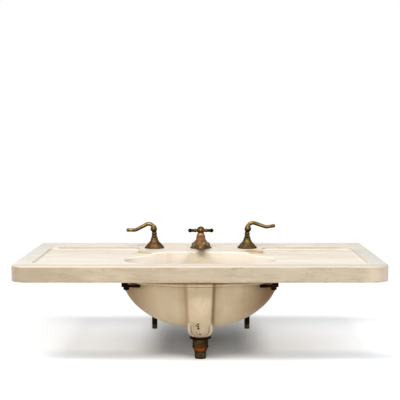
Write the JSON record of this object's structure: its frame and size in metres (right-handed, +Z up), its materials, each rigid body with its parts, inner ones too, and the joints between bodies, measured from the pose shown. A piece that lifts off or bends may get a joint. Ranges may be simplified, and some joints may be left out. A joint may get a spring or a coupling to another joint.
{
  "type": "marble sink",
  "caption": "Rectangular dished marble lavatory top with an oval china basin under it, lever valves, a centre spout and a pop-up waste.",
  "frame": {"origin": "middle of the slab's rear edge, on its top surface", "axes": "+X to the right, +Y to the wall, +Z up; the front face looks along -Y"},
  "size_m": [1.067, 0.558, 0.3915],
  "materials": {
    "marble": "old polished cream marble with faint grey veins",
    "china": "aged cream glaze with crazing",
    "putty": "dry bedding putty",
    "lead": "dull poured lead",
    "iron": "rusted forged iron",
    "antique_brass": "antique brass with a brown patina",
    "rough_brass": "unpolished cast brass",
    "dark_brass": "dark tarnished brass",
    "green_brass": "brass with a green-grey tarnish",
    "seal": "hardened rubber",
    "packing": "greased hemp packing"
  },
  "bodies": {
    "fixed": {"marble_top": "marble", "basin": "china", "basin_bedding": "putty", "clamp_leads": "lead", "clamp_bars": "iron", "clamp_bolts": "iron", "clamp_nuts": "iron", "spout": "antique_brass", "spout_washer": "seal", "spout_locknut": "rough_brass", "spout_tee": "rough_brass", "drain_flange": "dark_brass", "drain_gasket": "seal", "drain_locknut": "dark_brass", "drain_body": "dark_brass", "drain_tail": "green_brass", "pivot_seals": "seal", "pivot_nut": "dark_brass", "hot_packing": "packing", "hot_packing_nut": "antique_brass", "hot_escutcheon": "antique_brass", "hot_valve_body": "rough_brass", "hot_washer": "seal", "hot_locknut": "rough_brass", "hot_inlet_nipple": "rough_brass", "hot_tail_nut": "rough_brass", "hot_supply_tail": "green_brass", "hot_crossover": "rough_brass", "hot_crossover_nuts": "rough_brass", "cold_packing": "packing", "cold_packing_nut": "antique_brass", "cold_escutcheon": "antique_brass", "cold_valve_body": "rough_brass", "cold_washer": "seal", "cold_locknut": "rough_brass", "cold_inlet_nipple": "rough_brass", "cold_tail_nut": "rough_brass", "cold_supply_tail": "green_brass", "cold_crossover": "rough_brass", "cold_crossover_nuts": "rough_brass"},
    "hot_handle": {"hot_lever": "antique_brass", "hot_lever_screw": "antique_brass", "hot_stem": "rough_brass"},
    "cold_handle": {"cold_lever": "antique_brass", "cold_lever_screw": "antique_brass", "cold_stem": "rough_brass"},
    "waste_lift": {"lift_handle": "antique_brass", "lift_rod": "rough_brass", "lift_strap": "rough_brass", "strap_screw": "rough_brass"},
    "pivot": {"pivot_rod": "rough_brass"},
    "plug": {"popup_plug": "rough_brass", "plug_seal": "seal"}
  },
  "joints": [
    {"name": "hot_turn", "type": "hinge", "parent": "fixed", "child": "hot_handle", "pos_m": [-0.149, -0.14, 0], "axis": [0, 0, 1], "range_deg": [0, 90]},
    {"name": "cold_turn", "type": "hinge", "parent": "fixed", "child": "cold_handle", "pos_m": [0.149, -0.14, 0], "axis": [0, 0, 1], "range_deg": [-90, 0]},
    {"name": "lift", "type": "slide", "parent": "fixed", "child": "waste_lift", "axis": [0, 0, 1], "range_m": [0, 0.04]},
    {"name": "pivot_tilt", "type": "hinge", "parent": "fixed", "child": "pivot", "pos_m": [0, -0.332, -0.2626], "axis": [1, 0, 0], "range_deg": [0, 11.43]},
    {"name": "plug_travel", "type": "slide", "parent": "fixed", "child": "plug", "axis": [0, 0, -1], "range_m": [0, 0.00607]}
  ],
  "couplings": [
    {"joint": "pivot_tilt", "follows": "lift", "rad_per_m": 4.9834},
    {"joint": "plug_travel", "follows": "lift", "ratio": 0.15152}
  ]
}
